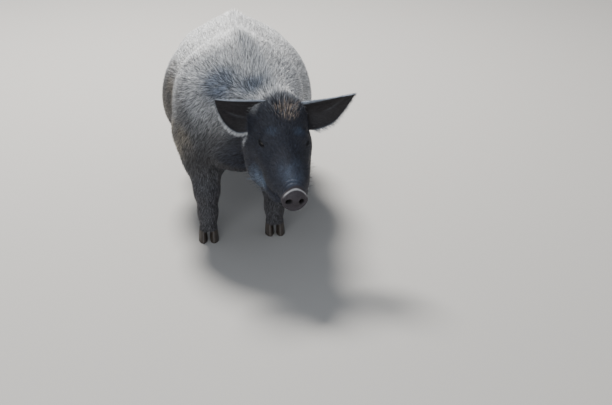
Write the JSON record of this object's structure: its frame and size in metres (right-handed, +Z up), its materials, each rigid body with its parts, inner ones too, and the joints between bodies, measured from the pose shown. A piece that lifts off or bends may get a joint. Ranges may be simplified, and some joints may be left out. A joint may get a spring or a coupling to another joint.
{
  "type": "pig, standing, still life-size model",
  "caption": "Black domestic pig with a dusty grey back, standing with its head lowered and turned to its left; a still, life-size display model.",
  "frame": {"origin": "on the floor under the middle of the whole pig's bounding box", "axes": "+Z up, the tail to +Y and the nose to -Y, the pig's own left side to +X"},
  "size_m": [0.589, 1.285, 0.6521],
  "materials": {
    "back_coat": "short grey bristles over dark skin, dusty",
    "dark_coat": "short black bristles over dark skin",
    "ear_skin": "thin dark skin, sparse hair",
    "snout_skin": "bare, moist, matt",
    "horn": "worn dark horn",
    "eyeball": "wet dark brown"
  },
  "bodies": {
    "root": {"trunk": "back_coat", "neck": "back_coat", "head": "dark_coat", "jaw": "dark_coat", "snout": "snout_skin", "ear_right": "ear_skin", "ear_left": "ear_skin", "eye_right": "eyeball", "eye_left": "eyeball", "tail": "dark_coat", "leg_front_right": "dark_coat", "leg_front_left": "dark_coat", "leg_hind_right": "dark_coat", "leg_hind_left": "dark_coat", "dewclaw_front_left_inner": "horn", "dewclaw_front_left_outer": "horn", "dewclaw_front_right_inner": "horn", "dewclaw_front_right_outer": "horn", "dewclaw_hind_left_inner": "horn", "dewclaw_hind_left_outer": "horn", "dewclaw_hind_right_inner": "horn", "dewclaw_hind_right_outer": "horn", "hoof_front_left_inner": "horn", "hoof_front_left_outer": "horn", "hoof_front_right_inner": "horn", "hoof_front_right_outer": "horn", "hoof_hind_left_inner": "horn", "hoof_hind_left_outer": "horn", "hoof_hind_right_inner": "horn", "hoof_hind_right_outer": "horn"}
  },
  "joints": []
}
